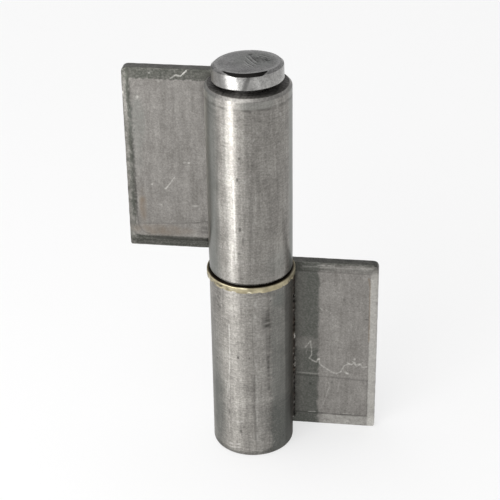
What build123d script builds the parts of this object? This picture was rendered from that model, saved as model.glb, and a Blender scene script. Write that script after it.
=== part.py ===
from build123d import *
import math
import os

# Weld-on barrel hinge of the flag kind, in bare steel.
#
# Two turned barrels stand one above the other on a headed pin, with a loose brass washer
# between them. The pin drops in from the top and stands on the floor of the lower barrel's
# blind bore. Each barrel carries a flat leaf, one to each side, set behind the axis and
# joined to the barrel by a bead in front and a filled groove behind.
#
# Millimetres. The origin is on the hinge axis at the foot of the lower barrel. Z runs up
# the axis, X towards the lower leaf, and the leaves' show faces look along -Y.

# Barrels
barrel_radius = 10.0
barrel_length = 47.8
running_clearance = 0.05
top_edge_break = 0.6
foot_edge_break = 0.25
bore_mouth_break = 0.5

# The upper barrel is drawn in a little just above its lower edge.
drawn_in_height = 3.2
drawn_in_depth = 0.08
lower_edge_break = 0.9

# Lower barrel's blind bore, left with the cone of a common twist drill
socket_depth = 40.0
drill_point_angle = 118.0

# Thrust washer
washer_radius = 10.65
washer_thickness = 1.6
washer_clearance = 0.08
washer_edge_break = 0.2

# Pin: its head was struck a little askew on the shank, so it leans back and to the left.
pin_radius = 6.0
pin_end_break = 1.0
head_radius = 8.25
head_height = 4.0
head_edge_break = 0.45
head_gap = 0.8
head_lean_back = 2.7
head_lean_left = 1.9
head_overlap = 1.5

# Leaves
leaf_front = 5.2
leaf_thickness = 3.0
leaf_reach = 30.3
upper_leaf_lift = 0.9
top_corner_radius = 1.4
bottom_corner_radius = 0.5

# The show face is coined: its three free borders fall away in a shallow slope.
border_width = 2.6
side_border_width = 1.8
border_fall = 0.4
field_corner_radius = 1.5

# Welds
front_bead_radius = 1.6
back_bead_radius = 1.55
ripple_pitch = 3.0
ripple_depth = 0.14
weld_end_margin = 1.2

# Heights along the axis, worked out from the sizes above
washer_base = barrel_length
upper_base = washer_base + washer_thickness
upper_rim = upper_base + barrel_length
bore_radius = pin_radius + running_clearance
socket_floor = barrel_length - socket_depth
drill_slope = 1 / math.tan(math.radians(drill_point_angle / 2))
pin_foot = socket_floor - (bore_radius - pin_radius + pin_end_break) * drill_slope
head_base = upper_rim + head_gap

# The leaf's square inner edge meets the barrel along its front corner, which leaves a
# groove behind, from the barrel's side at the depth of the leaf's back to that edge.
leaf_back = leaf_front + leaf_thickness
leaf_root = math.sqrt(barrel_radius**2 - leaf_front**2)
groove_inner = math.sqrt(barrel_radius**2 - leaf_back**2)
groove_middle = (groove_inner + leaf_root) / 2
groove_half_width = (leaf_root - groove_inner) / 2


def turned(corners):
    """The solid that (radius, height) corners sweep out about the hinge axis."""
    return revolve(make_face(Plane.XZ * Polyline(*corners, close=True)), Axis.Z)


def upright_plane(depth):
    """A plane facing the front, the given distance behind the hinge axis."""
    return Plane(origin=(0, depth, 0), x_dir=(1, 0, 0), z_dir=(0, -1, 0))


def make_lower_barrel():
    """Solid-footed barrel: its drilled socket takes the pin from above."""
    socket = turned([
        (0, socket_floor - bore_radius * drill_slope),
        (bore_radius, socket_floor),
        (bore_radius, barrel_length - bore_mouth_break),
        (bore_radius + 2 * bore_mouth_break, barrel_length + bore_mouth_break),
        (0, barrel_length + bore_mouth_break),
    ])
    body = turned([
        (0, 0),
        (barrel_radius - foot_edge_break, 0),
        (barrel_radius, foot_edge_break),
        (barrel_radius, barrel_length - foot_edge_break),
        (barrel_radius - foot_edge_break, barrel_length),
        (0, barrel_length),
    ])
    return body - socket


def make_upper_barrel():
    """Through-bored barrel with broken edges, drawn in a little at its lower end."""
    return turned([
        (bore_radius, upper_base + bore_mouth_break),
        (bore_radius + bore_mouth_break, upper_base),
        (barrel_radius - drawn_in_depth - lower_edge_break, upper_base),
        (barrel_radius - drawn_in_depth, upper_base + lower_edge_break),
        (barrel_radius, upper_base + lower_edge_break + drawn_in_height),
        (barrel_radius, upper_rim - top_edge_break),
        (barrel_radius - top_edge_break, upper_rim),
        (bore_radius + bore_mouth_break, upper_rim),
        (bore_radius, upper_rim - bore_mouth_break),
    ])


def make_washer():
    """Flat brass ring, slightly larger than the barrels that it keeps apart."""
    bore = pin_radius + washer_clearance
    top = washer_base + washer_thickness
    return turned([
        (bore, washer_base),
        (washer_radius - washer_edge_break, washer_base),
        (washer_radius, washer_base + washer_edge_break),
        (washer_radius, top - washer_edge_break),
        (washer_radius - washer_edge_break, top),
        (bore, top),
    ])


def make_pin():
    """Round shank with a broken end, under a disc head that leans on it."""
    shank = turned([
        (0, pin_foot),
        (pin_radius - pin_end_break, pin_foot),
        (pin_radius, pin_foot + pin_end_break),
        (pin_radius, head_base + head_overlap),
        (0, head_base + head_overlap),
    ])
    head = turned([
        (0, 0),
        (head_radius, 0),
        (head_radius, head_height - head_edge_break),
        (head_radius - head_edge_break, head_height),
        (0, head_height),
    ])
    return shank + Pos(0, 0, head_base) * Rot(-head_lean_back, -head_lean_left, 0) * head


def leaf_section(depth, low, high, side_inset, end_inset, low_corner, high_corner):
    """Upright section through a right-hand leaf, with its two outer corners rounded."""
    outer = leaf_reach - side_inset
    bottom = low + end_inset
    top = high - end_inset
    corners = [(leaf_root, bottom), (outer, bottom), (outer, top), (leaf_root, top)]
    section = upright_plane(depth) * make_face(Polyline(*corners, close=True))
    for height, radius in ((bottom, low_corner), (top, high_corner)):
        corner = section.vertices().sort_by_distance((outer, depth, height))[0]
        section = fillet(corner, radius)
    return section


def make_leaf(low, high):
    """Right-hand leaf: a flat plate under a raised field with sloping borders."""
    slope_depth = leaf_front + border_fall
    outline = leaf_section(slope_depth, low, high, 0, 0, bottom_corner_radius, top_corner_radius)
    field = leaf_section(
        leaf_front, low, high, side_border_width, border_width, field_corner_radius, field_corner_radius
    )
    plate = extrude(outline, amount=-(leaf_thickness - border_fall))
    return plate + loft([outline.face(), field.face()])


def make_bead(x, y, low, high, radius):
    """Rippled round bead about an upright line: each ripple leans over the one below."""
    count = round((high - low) / ripple_pitch)
    pitch = (high - low) / count
    corners = [(0, low)]
    for ripple in range(count):
        start = low + ripple * pitch
        corners.append((radius - ripple_depth, start + 0.1 * pitch))
        corners.append((radius, start + 0.75 * pitch))
    corners.append((radius - ripple_depth, high))
    corners.append((0, high))
    return Pos(x, y, 0) * turned(corners)


def make_front_weld(barrel, leaf, low, high):
    """Thin bead in the corner between the barrel and the leaf's show face."""
    bead = make_bead(leaf_root, leaf_front, low, high, front_bead_radius)
    groove = Pos(leaf_root, leaf_front, (low + high) / 2) * Box(
        barrel_radius, barrel_radius, high - low, align=(Align.MAX, Align.MIN, Align.CENTER)
    )
    return bead - barrel - leaf - groove


def make_back_weld(barrel, leaf, front_weld, low, high):
    """Fills the groove behind the leaf's edge, under a rippled crown that stays off its back."""
    fill = Pos(leaf_root, leaf_front, (low + high) / 2) * Box(
        leaf_root - groove_inner, leaf_thickness, high - low, align=(Align.MAX, Align.MIN, Align.CENTER)
    )
    crown_depth = leaf_back - math.sqrt(back_bead_radius**2 - groove_half_width**2)
    crown = make_bead(groove_middle, crown_depth, low, high, back_bead_radius)
    return fill + crown - barrel - leaf - front_weld


def make_half(barrel, low, high, mirrored):
    """A leaf and its two welds; they are made on the right and mirrored for the left."""
    leaf = make_leaf(low, high)
    weld_low = low + weld_end_margin
    weld_high = high - weld_end_margin
    front_weld = make_front_weld(barrel, leaf, weld_low, weld_high)
    back_weld = make_back_weld(barrel, leaf, front_weld, weld_low, weld_high)
    pieces = [leaf, front_weld, back_weld]
    if mirrored:
        pieces = [mirror(piece, about=Plane.YZ) for piece in pieces]
    return pieces


lower_barrel = make_lower_barrel()
upper_barrel = make_upper_barrel()
lower_leaf, lower_front_weld, lower_back_weld = make_half(lower_barrel, 0, barrel_length, mirrored=False)
upper_leaf, upper_front_weld, upper_back_weld = make_half(
    upper_barrel, upper_base + upper_leaf_lift, upper_rim, mirrored=True
)

parts = {
    "lower_barrel": lower_barrel,
    "upper_barrel": upper_barrel,
    "brass_washer": make_washer(),
    "hinge_pin": make_pin(),
    "lower_leaf": lower_leaf,
    "lower_front_weld": lower_front_weld,
    "lower_back_weld": lower_back_weld,
    "upper_leaf": upper_leaf,
    "upper_front_weld": upper_front_weld,
    "upper_back_weld": upper_back_weld,
}

os.makedirs("parts", exist_ok=True)
for name, solid in parts.items():
    export_step(solid, f"parts/{name}.step")
    size = solid.bounding_box().size
    print(f"{name}: {len(solid.solids())} solid, {size.X:.1f} x {size.Y:.1f} x {size.Z:.1f} mm")
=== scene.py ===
# %% [markdown]
# # A weld-on barrel hinge in bare steel
#
# Two turned barrels stand on one headed pin with a brass washer between them, and each
# barrel carries a flat leaf that is welded to its side. The solid model gives every size.
# This file makes the finished surfaces: each piece is skinned again as a fine mesh, so that
# its edges can be rounded and its wear can be real relief, and then it gets its metal.

# %% Load the frame
import math

import bpy
import numpy as np
from mathutils import Matrix, Vector


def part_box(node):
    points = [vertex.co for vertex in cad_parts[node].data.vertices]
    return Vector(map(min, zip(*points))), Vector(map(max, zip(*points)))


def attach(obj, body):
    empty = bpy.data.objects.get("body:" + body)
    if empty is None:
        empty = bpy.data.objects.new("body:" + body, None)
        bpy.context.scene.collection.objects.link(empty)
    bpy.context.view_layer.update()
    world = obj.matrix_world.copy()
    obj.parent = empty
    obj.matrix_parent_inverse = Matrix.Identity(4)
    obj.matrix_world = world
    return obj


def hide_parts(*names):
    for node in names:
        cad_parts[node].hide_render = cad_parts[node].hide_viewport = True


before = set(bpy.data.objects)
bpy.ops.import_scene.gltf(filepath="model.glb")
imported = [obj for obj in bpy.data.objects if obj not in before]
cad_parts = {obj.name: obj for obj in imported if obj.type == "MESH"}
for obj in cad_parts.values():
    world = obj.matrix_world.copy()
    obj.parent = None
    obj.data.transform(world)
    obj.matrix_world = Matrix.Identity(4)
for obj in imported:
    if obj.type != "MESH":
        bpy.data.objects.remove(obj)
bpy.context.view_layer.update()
MM = 0.001

# %% [markdown]
# ## Sizes
#
# The boxes of the solid nodes hold nearly every size. They could be typed in again, but then
# a change to the solids would leave the skins behind, so they are read here once. Everything
# below works in millimetres until a mesh is written.

# %% Read the sizes from the solids


def box_mm(node):
    """Lowest and highest corner of a solid node, in millimetres."""
    low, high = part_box(node)
    return np.array(low) / MM, np.array(high) / MM


_, lower_high = box_mm("lower_barrel")
upper_low, upper_high = box_mm("upper_barrel")
washer_low, washer_high = box_mm("brass_washer")
pin_low, _ = box_mm("hinge_pin")
leaf_low, leaf_high = box_mm("lower_leaf")
upper_leaf_low, upper_leaf_high = box_mm("upper_leaf")

BARREL = lower_high[0]
LOWER_TOP = lower_high[2]
WASHER = washer_high[0]
UPPER_FOOT = upper_low[2]
RIM = upper_high[2]
LEAF_ROOT = leaf_low[0]
LEAF_REACH = leaf_high[0]
LEAF_FRONT = leaf_low[1]
LEAF_BACK = leaf_high[1]
print("barrel radius", round(BARREL, 2), "rim", round(RIM, 2), "leaf reach", round(LEAF_REACH, 2))

# %% [markdown]
# ## Helpers for shape
#
# A turned part is a profile carried round an axis, and a weld is a loop carried along a
# line. Both are rings of points, so one function can skin them. Whole arrays go into the
# mesh at once, which is quick even at a hundred thousand points, and the sign of the volume
# says whether the faces have to be turned to point outwards.

# %% Write arrays of points and faces as a mesh


def write_mesh(name, points_mm, quads, triangles, marks):
    """A mesh from points in mm, quads and triangles, with one float attribute for each mark.
    The volume is a sixth of the sum of a . (b x c) over triangles; below 0, faces are turned."""
    split = np.concatenate([quads[:, [0, 1, 2]], quads[:, [0, 2, 3]], triangles])
    a, b, c = (points_mm[split[:, k]] for k in range(3))
    if np.einsum("ij,ij->i", a, np.cross(b, c)).sum() < 0:
        quads, triangles = quads[:, ::-1], triangles[:, ::-1]
    mesh = bpy.data.meshes.new(name)
    mesh.vertices.add(len(points_mm))
    mesh.vertices.foreach_set("co", (points_mm * MM).astype(np.float32).ravel())
    corners = np.concatenate([quads.ravel(), triangles.ravel()]).astype(np.int32)
    mesh.loops.add(len(corners))
    mesh.loops.foreach_set("vertex_index", corners)
    fan_starts = len(quads) * 4 + np.arange(len(triangles)) * 3
    starts = np.concatenate([np.arange(len(quads)) * 4, fan_starts]).astype(np.int32)
    mesh.polygons.add(len(starts))
    mesh.polygons.foreach_set("loop_start", starts)
    mesh.update(calc_edges=True)
    mesh.shade_smooth()
    for mark, values in marks.items():
        attribute = mesh.attributes.new(mark, "FLOAT", "POINT")
        attribute.data.foreach_set("value", values.astype(np.float32).ravel())
    piece = bpy.data.objects.new(name, mesh)
    bpy.context.scene.collection.objects.link(piece)
    print(name, len(split), "triangles, closed:", not mesh.validate())
    return piece


def strips(rings_of_indices):
    """Quads between each row of indices and the next one, once round."""
    here, there = rings_of_indices[:-1], rings_of_indices[1:]
    beside, across = np.roll(here, -1, axis=1), np.roll(there, -1, axis=1)
    return np.stack([here, beside, across, there], axis=-1).reshape(-1, 4)


def skin(name, rings, looped=False, marks=None):
    """Quads between neighbouring rings of points. The last ring joins the first if looped,
    or else each end ring is closed by a fan to its own middle point."""
    count, around = rings.shape[:2]
    index = np.arange(count * around).reshape(count, around)
    values = {mark: value.ravel() for mark, value in (marks or {}).items()}
    if looped:
        quads = strips(np.concatenate([index, index[:1]]))
        return write_mesh(name, rings.reshape(-1, 3), quads, np.empty((0, 3), int), values)
    points = np.concatenate([rings.reshape(-1, 3), rings[:1].mean(1), rings[-1:].mean(1)])
    middle = np.full(around, count * around)
    first_fan = np.stack([middle, np.roll(index[0], -1), index[0]], axis=1)
    last_fan = np.stack([middle + 1, index[-1], np.roll(index[-1], -1)], axis=1)
    for mark, value in (marks or {}).items():
        values[mark] = np.concatenate([value.ravel(), [value[0].mean(), value[-1].mean()]])
    return write_mesh(name, points, strips(index), np.concatenate([first_fan, last_fan]), values)


# %% [markdown]
# Real edges are never knife sharp: even a chamfer meets its faces in a small radius, and
# that radius is what catches the light. So the profile of a turned part is given by its
# corners with a radius for each one.

# %% Profiles with rounded corners


def rounded_profile(corners, radii, spacings, closed=False, arc_steps=5):
    """Points along (radius, height) corners. Each corner is replaced by an arc that touches
    both runs: it starts r / tan(half the angle) from the corner, and its centre lies
    r / sin(half the angle) along the bisector. Runs are cut no longer than their spacing."""
    corners = np.array(corners, float)
    count = len(corners)
    arcs = []
    for k in range(count):
        if not closed and k in (0, count - 1):
            arcs.append(corners[k][None])
            continue
        before = corners[k - 1] - corners[k]
        after = corners[(k + 1) % count] - corners[k]
        before, after = before / np.linalg.norm(before), after / np.linalg.norm(after)
        half = math.acos(np.clip(before @ after, -1, 1)) / 2
        bisector = (before + after) / np.linalg.norm(before + after)
        centre = corners[k] + bisector * radii[k] / math.sin(half)
        start = corners[k] + before * radii[k] / math.tan(half) - centre
        end = corners[k] + after * radii[k] / math.tan(half) - centre
        sweep = math.pi - 2 * half
        t = np.linspace(0, sweep, arc_steps + 1)[:, None]
        arcs.append(centre + (start * np.sin(sweep - t) + end * np.sin(t)) / math.sin(sweep))
    points = []
    for k in range(count if closed else count - 1):
        start, end = arcs[k][-1], arcs[(k + 1) % count][0]
        steps = max(3, math.ceil(np.linalg.norm(end - start) / spacings[k]))
        fractions = (np.arange(1, steps) / steps)[:, None]
        points += [arcs[k], start + (end - start) * fractions]
    return np.concatenate(points + ([] if closed else [arcs[-1]]))


def revolve(profile, around):
    """Rings about the hinge axis: each (radius, height) goes once round, from the front."""
    turn = (np.arange(around) / around * 2 - 1) * math.pi
    radius, height = profile[:, :1], profile[:, 1:]
    x, y = radius * np.sin(turn), -radius * np.cos(turn)
    return np.stack([x, y, np.broadcast_to(height, x.shape)], axis=-1)


# %% [markdown]
# Wear comes in two kinds. Some is everywhere and has no place of its own, and a sum of waves
# in random directions does for it. The rest is single marks: a scratch, a dent, a stain. A
# mark is a bent line with a width, and the distance from every point to that line gives a
# soft mask. Noise nodes could make the first kind too, but here it becomes real relief, and
# the masks are kept on the mesh so that the material can read them.

# %% Waves and marks


def ease(value, start, end):
    """0 at the start and 1 at the end, with a smooth S between: 3t^2 - 2t^3."""
    t = np.clip((value - start) / (end - start), 0, 1)
    return t * t * (3 - 2 * t)


def waves(points, size, seed, stretch=(1, 1, 1), count=16):
    """Soft unevenness of about -1 to 1: a sum of plane waves near one size in length, each
    with its own direction and phase. A stretch of 10 makes it ten times longer that way."""
    rng = np.random.default_rng(seed)
    direction = rng.normal(size=(count, 3))
    direction /= np.linalg.norm(direction, axis=1)[:, None]
    length = size * rng.uniform(0.6, 1.5, count)
    turns = direction / length[:, None] / np.array(stretch)
    phase = rng.uniform(0, 2 * math.pi, count)
    total = np.zeros(points.shape[:-1])
    for k in range(count):
        total += np.sin(points @ turns[k] * 2 * math.pi + phase[k])
    return total / math.sqrt(count)


def stroke(across, along, line, width, soft=0.5):
    """1 on a bent line and 0 beyond its edge. The distance to each run of the line is taken
    at the nearest point of that run, and the edge is soft over a share of the width."""
    nearest = np.full(across.shape, np.inf)
    for (x0, z0), (x1, z1) in zip(line, line[1:]):
        run_x, run_z = x1 - x0, z1 - z0
        t = ((across - x0) * run_x + (along - z0) * run_z) / (run_x**2 + run_z**2)
        t = np.clip(t, 0, 1)
        nearest = np.minimum(nearest, np.hypot(across - x0 - t * run_x, along - z0 - t * run_z))
    return 1 - ease(nearest, width / 2 * (1 - soft), width / 2 * (1 + soft))


def spot(across, along, x, z, width, height, soft=0.6):
    """1 inside an oval and 0 outside it, with a soft edge."""
    distance = np.hypot((across - x) / (width / 2), (along - z) / (height / 2))
    return 1 - ease(distance, 1 - soft, 1 + soft)


def strokes(place, rows):
    """Several strokes added up, each row as (share, width, line)."""
    return sum(share * stroke(*place, line, width) for share, width, line in rows)


def spots(place, rows):
    """Several spots added up, each row as (share, x, z, width, height)."""
    return sum(share * spot(*place, *oval) for share, *oval in rows)


def blank_marks(shape):
    """The four masks that every steel piece carries, still empty."""
    return {mark: np.zeros(shape) for mark in ("bright", "grime_and_shade", "stain", "scale_and_shade")}


# %% [markdown]
# ## Barrels
#
# Each barrel is 20 mm bar, parted off and drilled. The lower one is blind: a 118 degree drill
# left a cone at the bottom of its socket. The upper one is bored through, and its rim and
# lower edge are broken. They could be cylinders with bevels, but a profile carries the
# socket, the cone, the mouths and the edges in one line.

# %% Barrel profiles
AROUND = 360
PIN = 6.0
BORE = PIN + 0.05
AXIS = 0.15
MOUTH = 0.5
SOCKET_FLOOR = LOWER_TOP - 40.0
DRILL_CONE = BORE / math.tan(math.radians(118 / 2))

lower_profile = rounded_profile(
    [(AXIS, SOCKET_FLOOR - DRILL_CONE), (BORE, SOCKET_FLOOR), (BORE, LOWER_TOP - MOUTH),
     (BORE + MOUTH, LOWER_TOP), (BARREL, LOWER_TOP), (BARREL, 0), (AXIS, 0)],
    [0, 0.1, 0.1, 0.1, 0.3, 0.5, 0],
    [1.2, 1.6, 0.3, 0.5, 0.26, 0.9],
)
upper_profile = rounded_profile(
    [(BORE, UPPER_FOOT + MOUTH), (BORE + MOUTH, UPPER_FOOT), (BARREL - 0.5, UPPER_FOOT),
     (BARREL - 0.08, UPPER_FOOT + 0.6), (BARREL, UPPER_FOOT + 4.2), (BARREL, RIM - 0.7),
     (BARREL - 0.75, RIM), (BORE + MOUTH, RIM), (BORE, RIM - MOUTH)],
    [0.1, 0.1, 0.15, 0.4, 3.0, 0.4, 0.1, 0.12, 0.12],
    [0.3, 0.5, 0.25, 0.28, 0.28, 0.15, 0.25, 0.3, 1.6],
    closed=True,
)
print("profile points:", len(lower_profile), len(upper_profile))

# %% [markdown]
# The barrels were never polished. The bar's own skin shows long, shallow draw marks up the
# side, small pits, and a few dull bands that the lathe left near the ends. All of it is cut
# inwards from the true radius, so that no piece grows past the solid it stands for.

# %% The skin of drawn bar


def outer_wall(rings):
    """1 on the outer wall, 0 on every inner face, and the place on the wall unrolled: the
    distance round from the front, and the height."""
    radius = np.hypot(rings[..., 0], rings[..., 1])
    around = np.arctan2(rings[..., 0], -rings[..., 1]) * BARREL
    return ease(radius, BARREL - 0.6, BARREL - 0.3), around, rings[..., 2]


def cut_in(rings, depth):
    """The rings with every point moved straight towards the axis by its own depth."""
    radius = np.hypot(rings[..., 0], rings[..., 1])
    share = (radius - depth) / radius
    return np.stack([rings[..., 0] * share, rings[..., 1] * share, rings[..., 2]], axis=-1)


def bar_skin(rings, wall, seed):
    """Depth of the bar's own unevenness: broad hollows, draw marks twenty times as long as
    they are wide, and pits where a field of small waves runs highest."""
    broad = waves(rings, 16, seed, stretch=(1, 1, 1.6))
    drawn = waves(rings, 1.1, seed + 1, stretch=(1, 1, 22))
    pits = ease(waves(rings, 1.3, seed + 2), 1.9, 2.6)
    return wall * (0.02 + 0.009 * broad + 0.0022 * drawn + 0.03 * pits), pits * wall


# %% [markdown]
# The bright strip up the lower barrel's front, with its hard bright edge, is a painted reflection of a
# soft lamp, and a groove runs beside it. The right side, towards the weld, is painted darker as shade, and
# the scale stays dark at the foot. Each mark is a row with its place on the unrolled wall, in mm round
# from the front and mm up. A painted texture could hold them too, but rows stay sharp from close by, and
# they cut into the metal as well.

# %% Marks on the lower barrel
# The hard edge of the painted reflection strip, then a groove beside it.
PANEL_EDGE = [(1, 0.55, [(4.6, 46.2), (2.9, 46.0), (2.3, 45.0), (2.1, 34), (2.3, 24), (2.2, 4)])]
PANEL_GROOVE = [
    (1, 0.3, [(1.6, 44.5), (1.45, 34), (1.75, 24), (1.7, 14)]),
    (1, 0.6, [(1.5, 15.0), (1.9, 12.0), (1.9, 5)]),
]
DRAW_LINES = [
    (1, 0.28, [(-4.45, 37.9), (-4.5, 30.5), (-4.65, 24.3)]),
    (0.5, 0.28, [(-4.65, 24.3), (-4.9, 15.9)]),
    (0.6, 0.5, [(-5.2, 21), (-5.3, 17.5)]),
]
LOWER_FOOT_LINES = [
    (1, 0.4, [(-6.4, 2.9), (-4.4, 2.7), (-2.2, 3.3)]),
    (1, 0.4, [(-6.4, 1.9), (-4.4, 1.7), (-2.2, 2.3)]),
    (0.6, 0.4, [(1.2, 1.9), (3.4, 1.3), (5.6, 2.0), (6.8, 3.4)]),
    (0.7, 0.35, [(-3.9, 10.1), (-2.2, 9.9), (-0.4, 11.0)]),
]
# Faint painted sheen along the lamps' streak.
LOWER_SHEEN_SPOTS = [(1, -3.2, 28, 3.4, 38), (0.8, -4.4, 44.8, 6.5, 3.4)]
LOWER_SMUDGES = [(1, 4.9, 38.8, 1.9, 6.5), (0.55, 5.2, 33, 1.3, 22)]
LOWER_DOTS = [(1, -2.2, 29.1, 0.6, 0.7), (0.5, -3.8, 29.6, 0.5, 0.6),
              (0.8, -1.85, 7.3, 0.55, 1.0), (0.5, -1.0, 8.8, 0.5, 0.7)]

# %% Skin the lower barrel


def skin_lower_barrel():
    rings = revolve(lower_profile, AROUND)
    wall, around, height = outer_wall(rings)
    place = around, height
    marks = blank_marks(around.shape)
    depth, pits = bar_skin(rings, wall, 11)
    worn = ease(waves(rings, 1.3, 22, stretch=(1, 1, 2.5)), -0.9, 0.9)
    arcs = waves(rings, 0.9, 23, stretch=(7, 7, 1))
    hair = waves(rings, 0.8, 21, stretch=(1, 1, 9))

    # Painted reflection: a bright strip up the front with a hard edge, and a faint painted sheen along the
    # lamps' streak.
    painted_reflection_strip = ease(around, 1.9, 2.4) * (1 - ease(around, 4.8, 5.6)) * (1 - ease(height, 45.4, 46.4))
    reflection_edge, groove = strokes(place, PANEL_EDGE), strokes(place, PANEL_GROOVE)
    draw_line = strokes(place, DRAW_LINES)
    foot_lines = strokes(place, LOWER_FOOT_LINES) + 0.8 * spot(*place, -5.8, 10.4, 0.7, 1.0)
    rubbed_and_sheen = spots(place, LOWER_SHEEN_SPOTS) * (1 + 0.8 * arcs)
    marks["bright"] = wall * np.clip(
        0.12 * painted_reflection_strip + 0.30 * reflection_edge * worn + 0.6 * draw_line * (0.4 + 0.6 * worn)
        + 0.5 * foot_lines * worn + 0.03 * rubbed_and_sheen, 0, 1)

    # Painted shade: the right side, towards the leaf, is darkened in the scale mask.
    right = ease(around + 0.35 * arcs, 5.4, 6.8) * (1 - 0.35 * ease(height, 20, 46))
    low_right = ease(around + 0.5 * arcs, 2.6, 5.4) * (1 - ease(height + 0.8 * arcs, 11.5, 17.5))
    low_right *= 1 - 0.9 * spot(*place, 5.2, 4.2, 3.0, 4.4)
    low_left = spot(*place, -8.6, 11.5, 5.0, 24) * 0.55
    foot = 0.55 * (1 - ease(height + 0.25 * arcs, 0.7, 1.9))
    marks["scale_and_shade"] = wall * np.clip(0.38 * right + 0.5 * low_right + low_left + foot, 0, 0.8)

    smudge = spots(place, LOWER_SMUDGES) + 0.5 * stroke(*place, [(5.2, 29), (5.3, 19.5)], 0.7)
    smudge *= 0.75 + 0.3 * arcs + 0.15 * hair
    hatch = spot(*place, -7.4, 43.4, 3.6, 5.0) * ease(waves(rings, 0.8, 24) + arcs, 0.2, 1.2)
    # Painted shade: the right edge beside the leaf is darkened in the grime mask.
    right_edge = ease(around, 10.1, 11.0) * (1 - ease(around, 15.5, 17))
    dots = spots(place, LOWER_DOTS)
    low_line = 0.6 * stroke(*place, [(-4.85, 16), (-5.0, 10)], 0.5) * worn
    marks["grime_and_shade"] = wall * np.clip(
        0.72 * smudge + 0.34 * groove * (0.5 + 0.5 * worn) + 0.5 * hatch + 0.30 * right_edge
        + dots + low_line + 0.8 * pits, 0, 1)

    # The heat of the weld browned the wall beside it. Where oil lies, and over the painted shade on the
    # right, the tint is cool.
    heat_tint_and_painted_shade = ease(around, 12, 15) * (1 - ease(around, 20, 25)) * (1 - ease(height, 46, 47.5))
    cool = 0.35 * spot(*place, 8.3, 44.6, 3.4, 4.0, soft=0.9) + 0.3 * right
    cool = cool + 0.35 * spot(*place, -11, 16, 7, 30, soft=0.9)
    marks["stain"] = wall * np.clip(0.6 * heat_tint_and_painted_shade - cool, -1, 1)
    cuts = 0.012 * reflection_edge + 0.02 * groove + 0.01 * draw_line + 0.03 * dots + 0.008 * painted_reflection_strip
    return skin("lower_barrel_skin", cut_in(rings, depth + wall * cuts), marks=marks)


lower_barrel = skin_lower_barrel()

# %% [markdown]
# The lathe left two fine lines below the upper barrel's rim, with a turned band above the first, and a
# file broke the rim, which is bright. A strip left of the front, where the lamps' streak runs, is painted
# brighter as a painted highlight, with a thin bright line painted down its right edge. The two end faces
# are painted dark as shade: the rim's top under the pin's head, and the foot over the washer.

# %% Marks on the upper barrel
UPPER_SCUFFS = [
    (1, 0.3, [(7.6, 96.3), (8.4, 94.8)]),
    (1, 0.45, [(9.1, 92.6), (9.6, 91.6), (10.1, 90.7)]),
    (0.7, 0.22, [(1.7, 85.9), (2.2, 87.0), (2.8, 88.3)]),
    (0.6, 0.2, [(2.9, 88.9), (3.8, 89.2)]),
    (0.5, 0.2, [(7.2, 84.9), (9.4, 85.3)]),
    (0.5, 0.3, [(-8.2, 89.5), (-6.9, 88.6)]),
    (0.9, 0.35, [(10.5, 53.2), (10.6, 51.2)]),
]
# The thin bright line painted down the right edge of the lamps' streak, as a painted highlight.
STREAK_EDGE_LINE = [(-2.5, 77), (-2.35, 66), (-2.2, 55.5)]
# An upright dark strip left of the lamps' streak, painted as a dark reflection.
DARK_STRIP_LINE = [(-6.3, 91), (-6.9, 78), (-7.3, 70), (-7.8, 57)]
TOP_LEFT_LINE = [(-11.4, 94.0), (-9.0, 93.2), (-6.7, 93.0)]
UPPER_DOTS = [(0.9, -0.96, 82.8, 0.5, 0.6), (1, -1.5, 77.4, 0.5, 0.9), (0.9, -1.06, 64.6, 0.5, 1.0),
              (0.6, -0.4, 61.7, 0.4, 2.2), (0.7, -1.4, 58.2, 0.6, 0.6), (0.4, 4.2, 73.5, 0.5, 0.8)]

# %% Skin the upper barrel


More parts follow.
